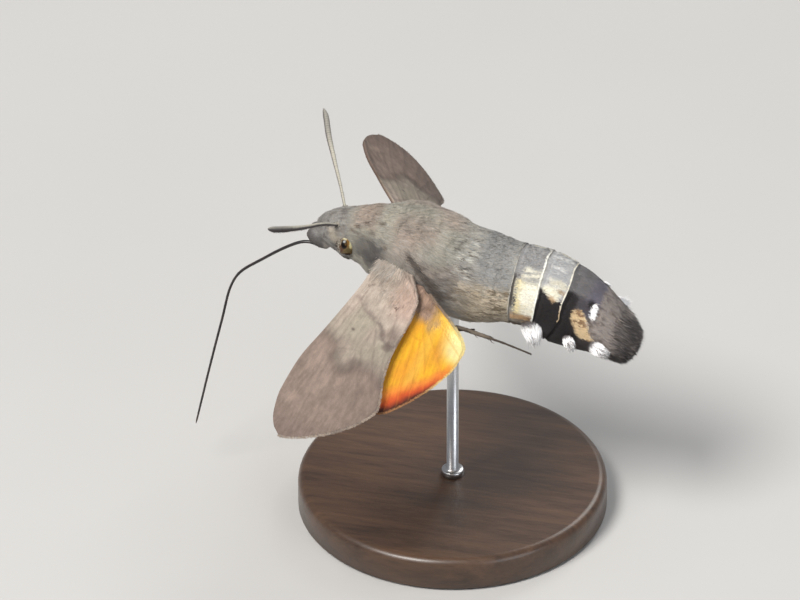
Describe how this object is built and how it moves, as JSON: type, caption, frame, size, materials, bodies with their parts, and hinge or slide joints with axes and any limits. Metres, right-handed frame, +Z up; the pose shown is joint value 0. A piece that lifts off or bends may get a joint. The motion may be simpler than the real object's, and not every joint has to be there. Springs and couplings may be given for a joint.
{
  "type": "hummingbird hawk moth",
  "caption": "Life-size hummingbird hawk moth hovering on a small round display stand, with furred grey body, orange hind wings, white side tufts, clubbed feelers and long bent tongue.",
  "frame": {"origin": "centre of the display base's underside, on the floor", "axes": "+Z up; the moth's head points to -X and its left side to -Y; the body is symmetric about the XZ plane, the wings only nearly so"},
  "size_m": [0.0389, 0.0424, 0.0318],
  "materials": {
    "coat": "soft scaly fur",
    "eye": "glossy, finely faceted",
    "feeler": "matt scales",
    "tongue": "satin",
    "forewing": "matt scales",
    "hindwing": "matt scales",
    "leg": "matt scales",
    "stand_rod": "brushed",
    "stand_base": "satin varnish"
  },
  "bodies": {
    "root": {"head": "coat", "thorax": "coat", "abdomen_front": "coat", "abdomen_mid": "coat", "abdomen_rear": "coat", "tail_fan": "coat", "palp_left": "coat", "palp_right": "coat", "eye_left": "eye", "eye_right": "eye", "antenna_left": "feeler", "antenna_right": "feeler", "proboscis_base": "tongue", "proboscis_mid": "tongue", "proboscis_tip": "tongue", "forewing_left": "forewing", "forewing_right": "forewing", "hindwing_left": "hindwing", "hindwing_right": "hindwing", "foreleg_left_femur": "leg", "foreleg_left_tibia": "leg", "foreleg_right_femur": "leg", "foreleg_right_tibia": "leg", "midleg_left_femur": "leg", "midleg_left_tibia": "leg", "midleg_right_femur": "leg", "midleg_right_tibia": "leg", "hindleg_left_femur": "leg", "hindleg_left_tibia": "leg", "hindleg_right_femur": "leg", "hindleg_right_tibia": "leg", "stand_rod": "stand_rod", "stand_base": "stand_base"}
  },
  "joints": []
}
